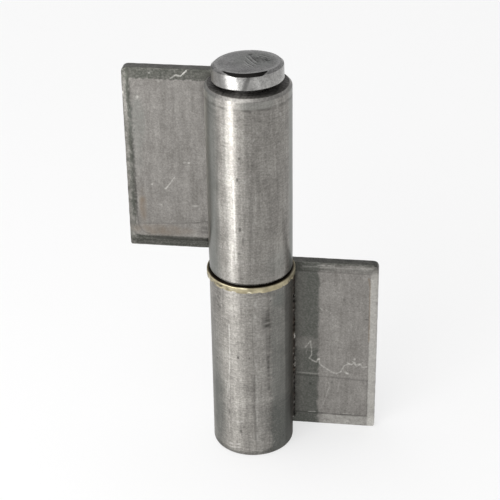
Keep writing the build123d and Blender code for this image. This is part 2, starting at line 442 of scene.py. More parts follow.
def skin_upper_barrel():
    rings = revolve(upper_profile, AROUND)
    wall, around, height = outer_wall(rings)
    place = around, height
    marks = blank_marks(around.shape)
    depth, pits = bar_skin(rings, wall, 31)
    worn = ease(waves(rings, 1.2, 42, stretch=(2, 2, 1)), -0.8, 0.9)
    arcs = waves(rings, 0.8, 43, stretch=(7, 7, 1))
    hair = 0.5 + 0.5 * waves(rings, 0.9, 41, stretch=(1, 1, 12))

    first = 1 - ease(np.abs(height - (RIM - 2.6 + 0.1 * waves(rings, 4, 44))), 0.12, 0.45)
    second = 1 - ease(np.abs(height - (RIM - 5.3)), 0.1, 0.3)
    lines = first * (0.35 + 0.65 * worn) + 0.5 * second * worn
    band = ease(height, RIM - 2.6, RIM - 2.2) * (1 - ease(height, RIM - 0.9, RIM - 0.6))
    scuffs = strokes(place, UPPER_SCUFFS) + 0.5 * spot(*place, 8.0, 56.0, 2.6, 1.0) * worn
    rim_break = ease(height, RIM - 0.85, RIM - 0.6) * (1 - ease(height, RIM - 0.1, RIM - 0.03))
    # Painted highlight: a brighter strip where the lamps' streak runs, and a thin bright line down its
    # right edge.
    painted_streak_edge = stroke(*place, STREAK_EDGE_LINE, 0.3)
    painted_reflection_strip = ease(around, -5.6, -3.8) * (1 - ease(around, -2.5, -2.1)) * (1 - ease(height, 95.0, 95.9))
    marks["bright"] = np.maximum(wall, rim_break) * np.clip(
        0.6 * scuffs * (0.3 + 0.7 * worn) + 0.12 * band + 0.3 * rim_break
        + 0.55 * painted_streak_edge * (0.6 + 0.4 * worn) + 0.16 * painted_reflection_strip * (0.75 + 0.25 * arcs), 0, 1)

    smudge = 0.22 * spot(*place, 0.6, 68, 2.5, 22) * hair
    # Painted dark reflection: an upright dark strip left of the lamps' streak.
    hollow_and_dark_strip = 0.22 * stroke(*place, DARK_STRIP_LINE, 1.1, soft=0.8) * (0.7 + 0.3 * hair)
    top_left = 0.22 * stroke(*place, TOP_LEFT_LINE, 0.8, soft=0.8)
    dots = spots(place, UPPER_DOTS)
    grime_and_shade = wall * np.clip(smudge + 0.5 * lines + 0.9 * pits + dots + hollow_and_dark_strip + top_left, 0, 1)
    # Painted shade: the rim's top is darkened under the pin's head, and the foot face over the washer.
    rim_painted_shade = ease(height, RIM - 0.08, RIM - 0.02) * (0.75 + 0.2 * waves(rings, 0.8, 45))
    foot_painted_shade = 1 - ease(height, UPPER_FOOT + 0.04, UPPER_FOOT + 0.16)
    marks["grime_and_shade"] = np.maximum(grime_and_shade, np.clip(np.maximum(rim_painted_shade, foot_painted_shade), 0, 1))

    cool = 0.7 * ease(-around, 5.5, 9.0) + ease(around, 12.0, 14.0) * (1 - ease(around, 15.5, 17))
    cool = cool + 0.4 * band * ease(around, -2, 1) * (1 - ease(around, 6.5, 8))
    cool = cool + 0.4 * spot(*place, 8.6, 54.5, 6, 6, soft=0.9)
    marks["stain"] = wall * -0.8 * np.clip(cool, 0, 1)
    cuts = 0.03 * lines + 0.012 * scuffs + 0.008 * band + 0.01 * painted_streak_edge + 0.02 * dots
    return skin("upper_barrel_skin", cut_in(rings, depth + wall * cuts), looped=True, marks=marks)


upper_barrel = skin_upper_barrel()

# %% [markdown]
# ## Washer
#
# A punched brass ring keeps the two barrels apart. It is soft, so years of load have pressed
# its lower edge out unevenly over the harder steel, with small nicks. A torus or a bevelled
# cylinder would be too perfect, so the edge of the profile is moved about as it goes round.

# %% Skin the washer
WASHER_BORE = PIN + 0.08
washer_profile = rounded_profile(
    [(WASHER_BORE, washer_low[2]), (WASHER, washer_low[2]), (WASHER, washer_high[2]),
     (WASHER_BORE, washer_high[2])],
    [0.1, 0.12, 0.3, 0.1],
    [0.5, 0.12, 0.35, 0.4],
    closed=True,
)


def skin_washer():
    rings = revolve(washer_profile, AROUND)
    x, y, z = (rings[..., k] for k in range(3))
    around = np.arctan2(x, -y) * WASHER
    side = ease(np.hypot(x, y), WASHER - 0.7, WASHER - 0.1)
    rise = z - washer_low[2]
    low_edge = side * (1 - ease(rise, 0.15, 1.0))
    ragged = ease(waves(rings * (1, 1, 0), 1.7, 51), -0.2, 1.4)
    nicks = ease(waves(rings, 0.55, 52), 1.7, 2.4) * side
    nicks = nicks * (1 - ease(rise, 0.5, 1.3))
    big_nick = spot(around, z, 0.9, washer_low[2] + 0.1, 1.0, 0.8)
    depth = side * (0.05 + 0.03 * waves(rings, 3, 53)) + low_edge * 0.16 * ragged
    depth = np.clip(depth + 0.1 * nicks + 0.12 * big_nick, 0, None)
    rings = cut_in(rings, depth)
    rings[..., 2] += low_edge * 0.16 * ragged
    rubbed_and_sheen = ease(waves(rings, 1.9, 55, stretch=(2, 2, 0.7)), 0.5, 1.5) * side
    bare = 0.8 * nicks + big_nick + 0.25 * low_edge * ragged + 0.35 * rubbed_and_sheen
    old = 0.5 + 0.5 * waves(rings, 1.6, 54, stretch=(1, 1, 0.6))
    left = (1 - ease(around, -7.0, -2.0)) * ease(around, -16, -13)
    grime_and_shade = np.clip(side * old * (0.2 + 0.75 * left) * (1 - ease(rise, 0.8, 1.4)), 0, 1)
    # The top is painted dark as shade in the gap under the upper barrel, further out at the front, and the
    # whole top is a little darker in the grime mask.
    top = ease(z, washer_high[2] - 0.12, washer_high[2] - 0.03)
    front = ease(np.cos(around / WASHER), 0.1, 0.9)
    gap_shade = top * (1 - 0.8 * ease(np.hypot(x, y) - 0.3 * front, WASHER - 0.5, WASHER - 0.2))
    marks = {"bright": np.clip(bare, 0, 1), "grime_and_shade": np.maximum(grime_and_shade, 0.4 * top), "gap_shade": gap_shade}
    return skin("brass_washer_skin", rings, looped=True, marks=marks)


washer = skin_washer()

# %% [markdown]
# ## Pin
#
# The pin is one piece of bar with an upset head. The head was struck slightly askew: it
# leans back and to the left, and its flat top carries the gouge and the scratches of the
# tool. The shank is turned straight, and only above the rim do its rings begin to lean, each
# by its share of the angle, so that shank and head stay one closed skin.

# %% Profile and lean of the pin
HEAD = 8.25
HEAD_BASE = RIM + 0.8
HEAD_TOP = HEAD_BASE + 4.0
LEAN_BACK = math.radians(2.7)
LEAN_LEFT = math.radians(1.9)

pin_profile = rounded_profile(
    [(AXIS, pin_low[2]), (PIN - 1, pin_low[2]), (PIN, pin_low[2] + 1), (PIN, HEAD_BASE),
     (HEAD, HEAD_BASE), (HEAD, HEAD_TOP - 0.6), (HEAD - 0.75, HEAD_TOP), (AXIS, HEAD_TOP)],
    [0, 0.2, 0.2, 0.25, 0.3, 0.12, 0.12, 0],
    [1.0, 0.4, 1.2, 0.4, 0.18, 0.1, 0.17],
)


def leaned(rings, share):
    """The rings turned about the middle of the head's foot by a share of the lean, with
    v' = v cos a + (k x v) sin a + k (k . v)(1 - cos a) for the axis k and the angle a."""
    axis = np.array([-math.sin(LEAN_BACK), -math.sin(LEAN_LEFT), 0])
    angle = (np.linalg.norm(axis) * share)[..., None]
    axis /= np.linalg.norm(axis)
    offset = rings - (0, 0, HEAD_BASE)
    turned = offset * np.cos(angle) + np.cross(axis, offset) * np.sin(angle)
    along = (offset @ axis)[..., None] * axis
    return turned + along * (1 - np.cos(angle)) + (0, 0, HEAD_BASE)


print("pin profile:", len(pin_profile), "points, head", HEAD_BASE, "to", HEAD_TOP)

# %% [markdown]
# The tool skidded over the right of the top: it left curved scores with raised lips, and a
# ridged bruise between them. The hammer also rolled the top's edge over.

# %% Marks on the head's top
BRUISE = [(1.4, 2.8), (2.9, 2.0), (4.8, 1.6)]
SCORES = [
    [(-0.6, 3.2), (0.3, 1.6), (1.5, -0.6), (2.5, -1.9), (3.4, -2.1)],
    [(-0.5, 0.6), (0.4, -1.2), (1.8, -2.8)],
    [(-0.2, -1.3), (1.1, -3.1)],
    [(0.2, 3.8), (1.4, 1.4), (2.4, -0.2)],
    [(2.6, 4.4), (4.6, 3.1)],
    [(1.9, 3.9), (3.9, 2.6)],
]
POCKS = [(1, 0.1, 4.7, 0.9, 1.2), (0.7, 4.5, 1.1, 0.6, 0.6), (0.4, -2.6, 1.2, 0.5, 0.5)]
RIDGE_PITCH = 0.75


def mark_top(rings, marks):
    """Fills the masks on the flat top and returns how far its points are pressed down."""
    x, y, z = (rings[..., k] for k in range(3))
    radius = np.hypot(x, y)
    top = ease(z, HEAD_TOP - 0.05, HEAD_TOP - 0.001) * (1 - ease(radius, HEAD - 0.9, HEAD - 0.5))
    gouge = spot(x + 0.3 * y, y - 0.2 * x, 3.3, 0.6, 4.4, 4.8) + 0.7 * spot(x, y, 4.5, 1.2, 1.4, 1.4)
    gouge += 0.6 * stroke(x, y, BRUISE, 1.8)
    bent = 0.85 * x + 0.53 * y + 0.25 * waves(rings, 2, 61)
    ridges = 0.5 + 0.5 * np.sin(bent * 2 * math.pi / RIDGE_PITCH)
    scratches = sum(stroke(x, y, line, 0.3) for line in SCORES)
    lips = sum(stroke(x + 0.25, y + 0.2, line, 0.3) for line in SCORES)
    pocks = spots((x, y), POCKS)
    flats = ease(waves(rings, 2.6, 62), 0.6, 1.4)
    blotch = ease(waves(rings, 1.6, 65), 0.2, 1.5)
    rolled = ease(radius, HEAD - 1.9, HEAD - 1.2) * top
    grime_and_shade = gouge * (0.22 + 0.4 * ridges) + 0.62 * scratches + 0.8 * pocks + 0.1 * blotch
    marks["grime_and_shade"] = top * np.clip(grime_and_shade, 0, 1)
    marks["bright"] = top * np.clip(0.45 * lips + 0.12 * flats + 0.36 * rolled, 0, 1)
    marks["stain"] = top * -0.6 * spot(x, y, 1.5, 1.5, 9, 9)
    pressed = 0.05 + 0.02 * waves(rings, 4.5, 63) + 0.06 * gouge * ridges + 0.05 * scratches
    return np.clip(top * (pressed + 0.1 * pocks + 0.015 * flats) + 0.05 * rolled, 0, None)


# %% [markdown]
# The head's side was wiped by the tool, which left shallow upright facets. Three darker upright strips on
# it are painted dark reflections, and a dark crescent under the rolled edge at the front is painted shade.
# At the back left the shoulder is knocked in a little.

# %% Skin the pin


def mark_side(rings, marks):
    """Adds the side's masks to those of the top and returns how far its points are cut in."""
    x, y, z = (rings[..., k] for k in range(3))
    radius = np.hypot(x, y)
    around = np.degrees(np.arctan2(x, -y))
    side = ease(radius, HEAD - 0.5, HEAD - 0.2) * ease(z, HEAD_BASE, HEAD_BASE + 0.4)
    facets = waves(rings, 1.7, 64, stretch=(1, 1, 5))
    # The painted dark strips are drawn with degrees across and eighths of a mm up, about the same length.
    top, foot = HEAD_TOP * 8, HEAD_BASE * 8
    painted_dark_strips = stroke(around, z * 8, [(-42, top), (-36, foot)], 15, soft=0.7)
    painted_dark_strips += 1.1 * stroke(around, z * 8, [(12, top), (5, top - 18), (1, foot)], 7, soft=0.7)
    painted_dark_strips += 0.7 * ease(-around, 58, 66) * (1 - ease(-around, 80, 95))
    marks["grime_and_shade"] += side * (0.28 * ease(facets, 0.7, 1.5) + 0.62 * painted_dark_strips)
    marks["bright"] += side * 0.3 * ease(-facets, 0.6, 1.4)
    marks["bright"] *= 1 - side * np.clip(painted_dark_strips, 0, 1)

    # Painted shade: a dark crescent on the front of the chamfer, under the rolled edge.
    front = ease(around, -46, -6) * (1 - ease(around, 27, 47))
    lip_foot = HEAD_TOP - 0.16 - 0.66 * front
    painted_front_shade = ease(z, lip_foot, lip_foot + 0.12) * ease(radius, HEAD - 0.95, HEAD - 0.8) * ease(front, 0, 0.25)
    marks["bright"] *= 1 - painted_front_shade
    marks["grime_and_shade"] = np.clip(marks["grime_and_shade"] + 1.6 * painted_front_shade, 0, 1.6)
    shoulder = ease(-around, 85, 105) * (1 - ease(-around, 125, 150)) * ease(z, HEAD_TOP - 2.2, HEAD_TOP)
    worn = side * np.clip(0.035 + 0.018 * facets, 0, None)
    return worn + 0.2 * shoulder * ease(radius, HEAD - 1.6, HEAD - 0.5)


def skin_pin():
    rings = revolve(pin_profile, 320)
    height = rings[..., 2]
    marks = blank_marks(height.shape)
    pressed = mark_top(rings, marks)
    cut = cut_in(rings, mark_side(rings, marks))
    cut[..., 2] -= pressed
    return skin("hinge_pin_skin", leaned(cut, ease(height, RIM - 1.5, HEAD_BASE)), marks=marks)


pin = skin_pin()

# %% [markdown]
# ## Leaves
#
# A leaf is a piece of 3 mm plate. Its show face was coined, which left a raised field with
# three borders that slope away from it. A bevelled box could give the outline, but not the
# field, so the skin is made of loops: the field's edge, the slope, the plate's front corner,
# its side and its back corner. A grid that is stretched between four sides closes the front
# and the back. That is a Coons patch, and its points follow any outline.

# %% A loop round the leaf, and the patch that closes it
CELLS_ACROSS = 92
CELLS_UP = 188


def leaf_loop(low, high, inset, end_inset, low_corner, high_corner, foot_share=1.0):
    """The leaf's outline in (x, z): three straight sides, two round corners and the root.
    It is drawn finely, measured along its length, and cut into equal steps per side, from
    the root to the middle of each corner."""
    outer, bottom, top = LEAF_REACH - inset, low + end_inset * foot_share, high - end_inset
    turn = np.linspace(0, math.pi / 2, 17)
    low_arc = [outer - low_corner + low_corner * np.sin(turn), bottom + low_corner * (1 - np.cos(turn))]
    high_arc = [outer - high_corner + high_corner * np.cos(turn), top - high_corner * (1 - np.sin(turn))]
    line = np.concatenate([[[LEAF_ROOT, bottom]], np.stack(low_arc, 1), np.stack(high_arc, 1),
                           [[LEAF_ROOT, top]]])
    length = np.concatenate([[0], np.cumsum(np.hypot(*np.diff(line, axis=0).T))])
    stops = [0, length[9], length[26], length[-1]]
    sides = []
    for start, end, cells in zip(stops, stops[1:], (CELLS_ACROSS, CELLS_UP, CELLS_ACROSS)):
        along = np.linspace(start, end, cells + 1)
        sides.append(np.stack([np.interp(along, length, line[:, k]) for k in (0, 1)], 1))
    root = np.linspace([LEAF_ROOT, top], [LEAF_ROOT, bottom], CELLS_UP + 1)
    return sides[0], sides[1], sides[2], root


def coons_patch(bottom, side, top, root):
    """A grid between four curves: the two straight blends between facing curves are added,
    and the blend between the four corners is taken away."""
    u = np.linspace(0, 1, CELLS_ACROSS + 1)[:, None, None]
    v = np.linspace(0, 1, CELLS_UP + 1)[None, :, None]
    upper, inner = top[::-1], root[::-1]
    between = (1 - v) * bottom[:, None] + v * upper[:, None] + (1 - u) * inner[None] + u * side[None]
    corners = (1 - u) * ((1 - v) * bottom[0] + v * upper[0]) + u * ((1 - v) * bottom[-1] + v * upper[-1])
    return between - corners


# %% [markdown]
# Fourteen loops carry the slope from the field to the plate's front corner, eased at both
# ends, and nine more go round the corner, down the side and round the back corner.

# %% Skin a leaf from its loops
FIELD_INSET = 1.8
FIELD_END_INSET = 2.6
# The foot border came out wider than the top one on both leaves, by these shares.
UPPER_FOOT_SHARE = 1.15
LOWER_FOOT_SHARE = 1.35
BORDER_FALL = 0.4
# Each loop: inset at the side, inset at the ends, the two corner radii, depth behind the front.
SLOPE = [
    (FIELD_INSET * (1 - t), FIELD_END_INSET * (1 - t), 1.5 - t, 1.5 - 0.1 * t,
     BORDER_FALL * (t - 0.06 * math.sin(2 * math.pi * t)))
    for t in np.linspace(0, 0.95, 14)
]
LEAF_LOOPS = SLOPE + [
    (0.03, 0.03, 0.5, 1.4, 0.47),
    (0.0, 0.0, 0.5, 1.4, 0.62),
    (0.0, 0.0, 0.5, 1.4, 1.1),
    (0.0, 0.0, 0.5, 1.4, 1.6),
    (0.0, 0.0, 0.5, 1.4, 2.1),
    (0.0, 0.0, 0.5, 1.4, 2.7),
    (0.04, 0.04, 0.5, 1.4, 2.87),
    (0.15, 0.15, 0.5, 1.35, 2.97),
    (0.35, 0.35, 0.5, 1.3, 3.0),
]


def leaf_points(low, high, foot_share=1.0):
    """Front patch, loops between, and back patch as one list of (x, y, z) points, with the
    quads that join them. The outline of a patch is its own first loop."""
    across, up = CELLS_ACROSS, CELLS_UP
    grid = np.arange((across + 1) * (up + 1)).reshape(across + 1, up + 1)
    outline = np.concatenate([grid[:-1, 0], grid[-1, :-1], grid[:0:-1, -1], grid[0, :0:-1]])
    cells = np.stack([grid[:-1, :-1], grid[1:, :-1], grid[1:, 1:], grid[:-1, 1:]], -1).reshape(-1, 4)
    layers, index = [], [outline]
    count = grid.size
    for k, (inset, end_inset, low_corner, high_corner, depth) in enumerate(LEAF_LOOPS):
        sides = leaf_loop(low, high, inset, end_inset, low_corner, high_corner, foot_share)
        if k in (0, len(LEAF_LOOPS) - 1):
            flat = coons_patch(*sides).reshape(-1, 2)
        else:
            flat = np.concatenate([side[:-1] for side in sides])
            index.append(count + np.arange(len(flat)))
            count += len(flat)
        layers.append(np.insert(flat, 1, LEAF_FRONT + depth, axis=1))
    index.append(outline + count)
    quads = np.concatenate([cells[:, ::-1], strips(np.array(index)), cells + count])
    return np.concatenate(layers), quads


test_points, test_quads = leaf_points(0, LOWER_TOP)
print("leaf skin:", len(test_points), "points,", len(test_quads), "quads")

# %% [markdown]
# The two leaves share their making and differ in their wear. The field was rubbed clean in the press, so
# it is the light part, and the borders keep more of the dark scale of the rolling mill. Each leaf then
# gets its own scratches, stains and flecks, listed one by one.

# %% Relief that both leaves share


def skin_leaf(name, side, low, high, seed, wear, foot_share):
    """side is 1 for a leaf to the right and -1 to the left. wear(points, marks) fills the
    masks and returns the extra depth of the marks. The face is cut backwards, the edges
    inwards, and near the field's edge points slide along the face to make it wander."""
    points, quads = leaf_points(low, high, foot_share)
    x, y, z = points.T
    behind = y - LEAF_FRONT
    face = 1 - ease(behind, 0.0, 0.5)
    near_edge = face * (1 - ease(behind, 0.05, 0.3)) * ease(LEAF_REACH - x, 0.2, 1.2)
    rim_distance = np.minimum(np.minimum(z - low, high - z), LEAF_REACH - x)
    wander = near_edge * (1 - ease(rim_distance, 2.8, 4.2))
    marks = blank_marks(len(points))
    free = ease(x, LEAF_ROOT + 0.2, LEAF_ROOT + 1.5)
    edge_wear = free * (1 - ease(rim_distance, 0.0, 0.35)) * (0.03 + 0.02 * waves(points, 2.2, seed))
    edge_wear = np.clip(edge_wear, 0, None)
    moved = points.copy()
    moved[:, 0] += wander * 0.05 * waves(points, 5, seed + 1) - edge_wear * (x > LEAF_REACH - 1)
    moved[:, 2] += wander * 0.06 * waves(points, 5, seed + 2)
    moved[:, 2] += edge_wear * np.where(z < (low + high) / 2, 1, -1)
    moved *= (side, 1, 1)
    extra = wear(moved, marks)
    back = ease(behind, 2.9, 3.0)
    hollow_and_dark_strip = 0.03 + 0.012 * waves(points, 14, seed + 3) + 0.003 * waves(points, 1.2, seed + 4)
    moved[:, 1] += face * np.clip(hollow_and_dark_strip + extra, 0, None) - back * np.clip(hollow_and_dark_strip, 0, None)
    return write_mesh(name, moved, quads, np.empty((0, 3), int), marks)


print("field inset:", FIELD_INSET, "at the side and", FIELD_END_INSET, "at the ends, in mm")

# %% [markdown]
# The upper leaf was handled most: one hooked scratch near its top, one cut in the middle, a
# few flecks where the scale chipped off, and a brown stain with a fine dark line at the foot.
# The left border keeps its scale best, and a fine line runs down beside it.

# %% Marks on the upper leaf
UPPER_SCRATCH = [(-18.7, 94.9), (-17.5, 95.7), (-16.3, 95.5), (-15.0, 96.8)]
UPPER_CUT = [(-20.9, 66.3), (-19.9, 67.6), (-18.6, 69.6)]
UPPER_LINE = [(-27.6, 56.5), (-20, 56.8), (-13.0, 57.4)]
CORNER_CURVE = [(-28.25, 68), (-28.2, 58.5), (-27.9, 55.8), (-26.8, 54.2), (-25.2, 53.6)]
FLECKS = [
    (0.8, -26.7, 89.9, 0.5, 0.7), (0.4, -23.6, 96.0, 0.5, 0.3), (0.8, -15.1, 73.4, 0.7, 0.35),
    (0.35, -16.2, 73.5, 0.7, 0.5), (0.7, -24.2, 67.3, 0.45, 0.5), (0.3, -22.6, 61.9, 1.0, 0.35),
    (0.35, -14.0, 61.9, 1.6, 0.5), (0.3, -13.0, 61.2, 0.5, 0.5),
]
CHIPS = [(1, -30.3, 90.8, 0.7, 0.7), (0.5, -30.2, 95.0, 0.5, 0.4)]
NEAR_TOP = [(1, -11.2, 89.5, 1.5, 9.0), (0.35, -15.0, 93.6, 14, 3.5)]
BROWN_STAINS = [(0.55, -22.5, 54.9, 14, 2.6), (0.7, -26.7, 61.0, 1.6, 8)]

# %% Wear and skin of the upper leaf


def wear_upper_leaf(points, marks):
    x, y, z = points.T
    place = x, z
    front = 1 - ease(y, LEAF_FRONT + 0.5, LEAF_FRONT + 0.7)
    low = upper_leaf_low[2]
    field_top = upper_leaf_high[2] - FIELD_END_INSET
    field_foot = low + FIELD_END_INSET * UPPER_FOOT_SHARE
    rough = 0.10 * waves(points, 1.1, 71) + 0.08 * waves(points, 0.6, 76)
    blots = waves(points, 1.6, 77, stretch=(1, 1, 1.6))
    rolled = waves(points, 0.7, 78, stretch=(12, 1, 1))
    top = ease(z + rough, field_top - 0.15, field_top + 0.15)
    foot = ease(field_foot - z + rough, -0.15, 0.2)
    left = ease(-x + rough, LEAF_REACH - 1.95, LEAF_REACH - 1.6)
    inner = ease(-x + 1.4 * rough, 27.9, 28.3) * (1 - ease(-x + rough, 28.9, 29.5)) * ease(z, 56, 62)
    left = left * (0.62 + 0.16 * blots) + inner * (0.55 + 0.12 * blots)
    borders = np.maximum(top * (0.98 + 0.08 * rolled), foot * (0.98 + 0.10 * rolled))
    marks["scale_and_shade"] = front * np.maximum(borders, left) + (1 - front) * (0.62 + 0.12 * blots)

    scratch = stroke(*place, UPPER_SCRATCH, 0.24) * (0.45 + 0.55 * ease(x, -18.2, -16.5))
    cut = stroke(*place, UPPER_CUT, 0.22) * (0.6 + 0.4 * ease(waves(points, 1.0, 79), -0.6, 0.6))
    cut = cut + spot(*place, -21.0, 66.3, 0.5, 0.5)
    flecks, chip = spots(place, FLECKS), spots(place, CHIPS)
    foot_lip = ease(-x, 8, 28) * (1 - ease(z, low + 0.15, low + 0.4))
    corner_rub = spot(*place, -29.6, 52.4, 2.0, 3.2) * ease(blots, -0.5, 0.8)
    bright = 0.85 * scratch + 0.75 * cut + flecks + 0.8 * chip + 0.4 * foot_lip + 0.25 * corner_rub
    marks["bright"] = front * np.clip(bright, 0, 1)

    line = stroke(*place, UPPER_LINE, 0.3) * (0.55 + 0.45 * ease(x, -16, -13.5))
    shadow = ease(z, 52.0, 52.5) * (1 - ease(z + rough, field_foot - 0.1, field_foot + 0.2))
    shadow *= ease(x, -26.5, -24)
    # Painted shade: the face next to the barrel is darkened, low down, high up and in the top corner.
    near_barrel = spot(*place, -11.2, 55.5, 3.4, 9.0) * ease(blots + rolled, -0.6, 1.4)
    near_top = spots(place, NEAR_TOP) * (0.7 + 0.2 * blots)
    inner_line = inner * (1 - ease(-x, 28.5, 28.9)) * (0.6 + 0.4 * ease(blots, -0.6, 0.8))
    painted_corner_shade = ease(x, -11.4, -9.6) * ease(z, 93.5, 95.0) * (1 - ease(z, 96.2, 96.9))
    marks["grime_and_shade"] = front * np.clip(
        0.06 + 0.55 * line + 0.35 * stroke(*place, CORNER_CURVE, 0.35) + 0.45 * shadow
        + 0.5 * near_barrel + 0.4 * near_top + 0.42 * inner_line + 0.6 * painted_corner_shade, 0, 1)

    brown = np.clip(spots(place, BROWN_STAINS), 0, 1) * (0.75 + 0.3 * waves(points, 2.6, 73))
    cool = spot(*place, -27.0, 83.5, 3.6, 13, soft=0.3) + 0.5 * spot(*place, -27.2, 74.5, 2.4, 8)
    marks["stain"] = front * (brown - 0.35 * cool * (0.8 + 0.25 * blots))
    return 0.02 * scratch + 0.02 * cut + 0.025 * line + 0.02 * flecks + 0.15 * chip


upper_leaf = skin_leaf(
    "upper_leaf_skin", -1, upper_leaf_low[2], upper_leaf_high[2], 75, wear_upper_leaf, UPPER_FOOT_SHARE
)

# %% [markdown]
# On the lower leaf a dark band with a rather sharp limit beside the barrel is painted shade from the
# barrel. Somebody scribed a wandering line across the field, and two fine lines cross it below. The right
# border is painted brighter, as a painted highlight.

# %% Marks on the lower leaf
SCRIBBLE = [
    (1, 0.26, [(13.3, 24.3), (13.9, 25.3), (14.2, 23.0), (14.2, 21.1), (13.6, 20.2), (14.6, 19.4),
               (15.5, 19.1), (15.7, 19.8), (16.1, 20.1), (16.3, 18.5), (16.9, 18.0), (17.9, 17.3),
               (18.9, 16.6), (19.9, 16.1), (20.7, 16.0), (21.6, 16.6), (21.9, 17.2), (22.4, 18.4),
               (23.4, 19.1), (24.2, 18.9)]),
    (1, 0.3, [(22.3, 16.9), (23.0, 16.4), (23.9, 15.8)]),
    (1, 0.26, [(23.2, 19.4), (24.3, 18.9), (24.9, 19.7), (25.6, 18.4), (26.4, 19.2), (27.0, 18.3),
               (28.1, 18.6)]),
    (1, 0.22, [(24.4, 19.9), (25.3, 18.9), (26.9, 19.6)]),
    (0.7, 0.25, [(12.6, 23.2), (13.2, 24.2)]),
    (0.5, 0.25, [(12.9, 21.6), (13.0, 22.6)]),
]
SCRIBBLE_STOPS = [(0.8, 23.2, 16.2, 0.8, 0.5), (1, 25.0, 20.6, 0.5, 0.6), (0.9, 15.9, 19.9, 0.6, 0.7)]
TICKS = [
    (1, 0.2, [(16.4, 35.0), (17.4, 33.8)]),
    (1, 0.2, [(17.5, 35.1), (18.1, 34.2)]),
    (1, 0.2, [(18.4, 34.4), (18.9, 33.6)]),
    (0.5, 0.2, [(16.8, 33.2), (17.6, 32.6)]),
]
TICK_STOPS = [(1, 16.2, 33.4, 0.4, 0.5), (0.7, 15.0, 36.0, 0.4, 0.5)]
FAINT_SCRATCHES = [
    (1, 0.28, [(18.7, 11.5), (17.9, 8.5), (17.2, 6.2)]),
    (0.7, 0.28, [(21.2, 13.6), (20.9, 10.4)]),
    (0.6, 0.25, [(18.6, 13.3), (19.0, 10.5)]),
    (0.5, 0.3, [(24.4, 9.8), (24.1, 7.4)]),
    (0.5, 0.3, [(26.4, 12.3), (27.0, 10.2)]),
    (0.4, 0.25, [(23.8, 40.4), (25.6, 39.7)]),
]
CROSS_LINE_LIGHT = [(1, 0.3, [(9.0, 15.75), (16, 15.5)]), (0.3, 0.3, [(16, 15.5), (30, 14.9)])]
CROSS_LINE_DARK = [(9.0, 15.0), (18, 14.8), (28.4, 14.2)]
BORDER_LIGHTS = [
    (0.3, 0.3, [(26, 46.9), (29, 46.9)]),
    (0.25, 0.25, [(12, 46.7), (29, 46.6)]),
    (0.6, 0.25, [(13.5, 3.75), (15.2, 3.75)]),
]
BROKEN_LIGHTS = [(0.45, 0.25, [(15.5, 47.15), (19.5, 47.15)]), (0.5, 0.25, [(21.5, 3.7), (25, 3.8)])]
FOOT_DARKS = [
    (1, 0.4, [(9, 3.55), (17, 3.45)]),
    (0.7, 0.3, [(17, 3.45), (28.2, 3.4)]),
    (0.85, 0.24, [(19.5, 3.3), (30.3, 3.0)]),
]
TOP_DARK = [(9, 45.55), (29.9, 45.35)]
OUTER_DARKS = [(1, 0.26, [(30.05, 26), (30.05, 44)]), (0.5, 0.22, [(30.1, 4), (30.1, 26)])]
INNER_DARKS = [(1, 0.3, [(28.45, 4.2), (28.4, 14.5)]), (0.4, 0.3, [(28.4, 14.5), (28.35, 24)])]
OLIVE_LINE = [(28.45, 26), (28.4, 42), (28.0, 44.2)]
LEAF_DOTS = [(0.8, 30.0, 37.2, 0.5, 0.8), (0.7, 27.7, 32.5, 0.9, 0.4), (0.6, 29.6, 22.8, 0.4, 0.5),
             (0.5, 22.1, 37.9, 0.7, 0.6), (0.5, 19.4, 13.2, 0.4, 0.8), (0.6, 13.9, 12.4, 0.7, 0.7)]

# %% Wear and skin of the lower leaf


